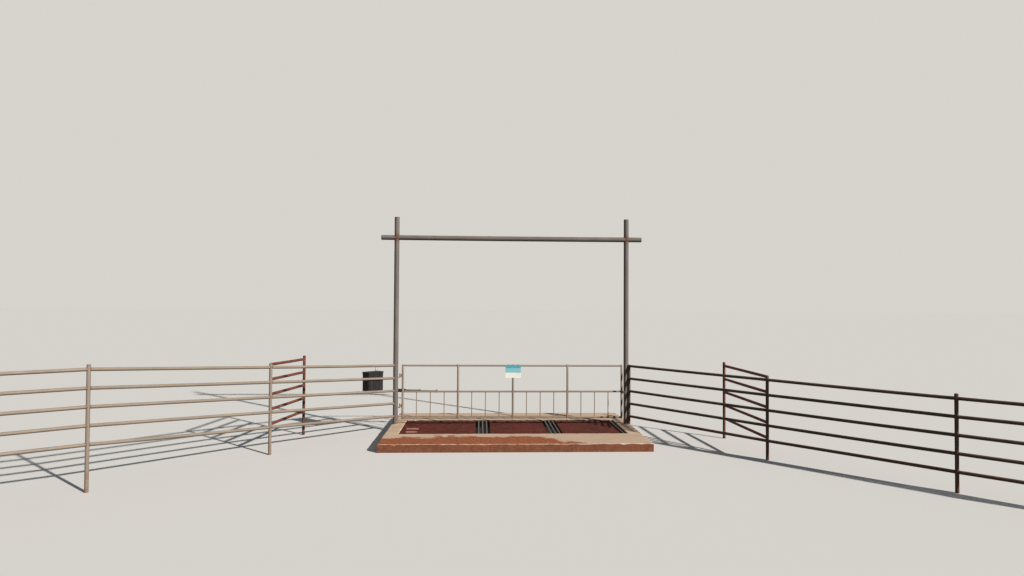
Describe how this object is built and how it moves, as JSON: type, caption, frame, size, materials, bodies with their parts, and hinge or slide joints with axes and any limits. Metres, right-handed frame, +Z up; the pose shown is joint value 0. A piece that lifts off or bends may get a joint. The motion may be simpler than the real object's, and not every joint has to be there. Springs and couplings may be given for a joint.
{
  "type": "cattle grid gateway",
  "caption": "Pipe cattle grid in a concrete surround, under a tall pipe portal with a swing gate and its powered opener, and pipe rail fences that flare out on both sides.",
  "frame": {"origin": "on the underside of the pit floor, under the middle of the gate line", "axes": "+X across the road to the latch side, +Y along the road to the inner side, +Z up"},
  "size_m": [18.0187, 9.4101, 4.92],
  "materials": {
    "concrete": "weathered cast concrete, dusty",
    "pit_concrete": "dirty concrete in shade",
    "grid_red": "red oxide primer and rust, worn",
    "grid_steel": "weathered grey steel",
    "pipe_paint": "warm grey paint, rusty at the welds",
    "gate_paint": "warm grey paint",
    "rusty_rail": "rusted pipe",
    "hardware": "dark painted steel",
    "opener_black": "black powder coat",
    "rod_steel": "dull steel",
    "sign_face": "blank sheet, two colour bands",
    "black_plastic": "moulded black plastic"
  },
  "bodies": {
    "root": {"concrete_front_apron": "concrete", "concrete_rear_apron": "concrete", "concrete_left_curb": "concrete", "concrete_right_curb": "concrete", "pit_floor": "pit_concrete", "left_grid_pipes": "grid_red", "middle_grid_pipes": "grid_red", "right_grid_pipes": "grid_red", "grid_beams": "grid_red", "grid_strip_bars": "grid_steel", "grid_strip_bearers": "grid_steel", "left_portal_post": "pipe_paint", "right_portal_post": "pipe_paint", "lintel_middle_pipe": "pipe_paint", "lintel_end_stubs": "pipe_paint", "portal_end_caps": "pipe_paint", "left_fence_posts": "pipe_paint", "right_fence_posts": "pipe_paint", "left_fence_rails_1": "pipe_paint", "left_fence_rails_2": "pipe_paint", "left_fence_rails_3": "pipe_paint", "right_fence_rails_1": "pipe_paint", "right_fence_rails_2": "pipe_paint", "right_fence_rails_3": "pipe_paint", "left_return_rails": "rusty_rail", "right_return_rails": "rusty_rail", "return_end_posts": "rusty_rail", "return_post_insulators": "black_plastic", "gate_hinge_pins": "pipe_paint", "gate_stop_plate": "hardware", "opener_post_bracket": "opener_black", "control_box": "black_plastic", "control_box_lid": "black_plastic", "control_box_antenna": "black_plastic", "control_box_mount": "hardware"},
    "gate": {"gate_uprights": "gate_paint", "gate_rails": "gate_paint", "gate_thin_bars": "gate_paint", "gate_hinge_barrels": "gate_paint", "gate_latch_tongue": "hardware", "gate_sign": "sign_face", "gate_sign_clamps": "hardware", "opener_gate_bracket": "opener_black"},
    "opener_arm": {"opener_motor": "opener_black", "opener_tube": "opener_black"},
    "opener_rod": {"opener_rod": "rod_steel"}
  },
  "joints": [
    {"name": "gate_hinge", "type": "hinge", "parent": "root", "child": "gate", "pos_m": [-2.56185, 0, 0.917], "axis": [0, 0, 1], "range_deg": [0, 90]},
    {"name": "opener_arm_pivot", "type": "hinge", "parent": "root", "child": "opener_arm", "pos_m": [-2.66185, 0.2, 0.917], "axis": [0, 0, 1], "range_deg": [0, 96]},
    {"name": "opener_rod_slide", "type": "slide", "parent": "opener_arm", "child": "opener_rod", "axis": [0.9924, -0.1227, 0], "range_m": [-0.31, 0]}
  ],
  "couplings": [
    {"joint": "opener_arm_pivot", "follows": "gate_hinge", "ratio": 1.0632},
    {"joint": "opener_rod_slide", "follows": "gate_hinge", "m_per_rad": -0.19538}
  ]
}
